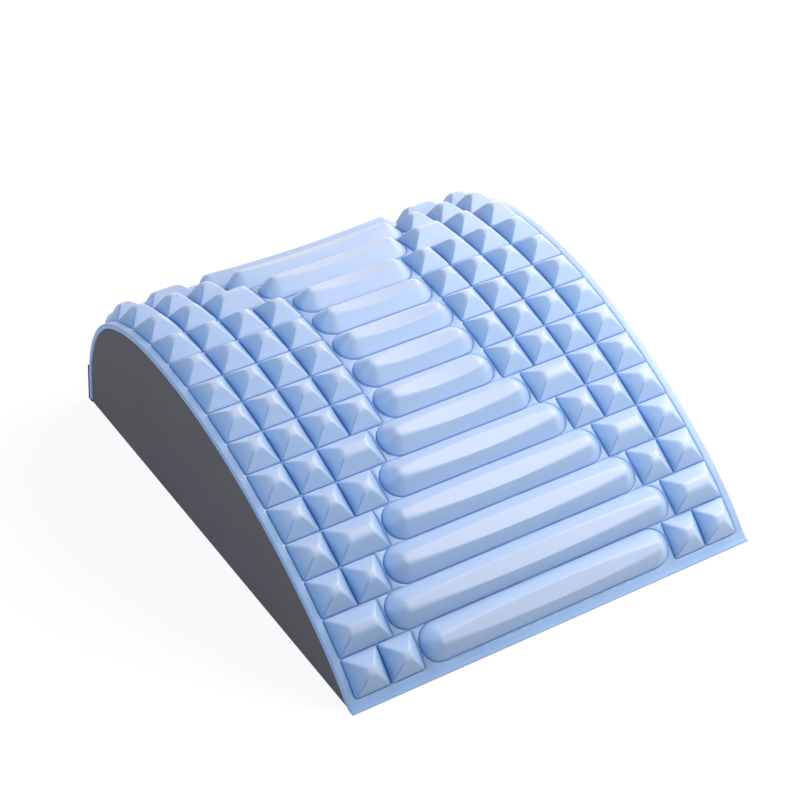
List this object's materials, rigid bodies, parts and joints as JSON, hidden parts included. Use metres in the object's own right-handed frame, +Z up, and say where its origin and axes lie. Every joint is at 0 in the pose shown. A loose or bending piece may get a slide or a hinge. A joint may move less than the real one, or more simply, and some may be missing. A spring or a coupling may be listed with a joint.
{
  "type": "back stretcher",
  "caption": "Arched foam back stretcher: a gentle front slope, a steep back, and a moulded pad of massage blocks with bars along the spine.",
  "frame": {"origin": "middle of the underside, on the surface that the stretcher lies on", "axes": "+X across the user's back, +Y from the low front edge to the steep back, +Z up"},
  "size_m": [0.2434, 0.2932, 0.0949],
  "materials": {
    "pad_elastomer_foam": "matt moulded skin",
    "core_foam": "matt cut closed-cell foam",
    "base_rubber": "matt non-slip sheet"
  },
  "bodies": {
    "root": {"massage_pad": "pad_elastomer_foam", "foam_core": "core_foam", "base_sheet": "base_rubber"}
  },
  "joints": []
}
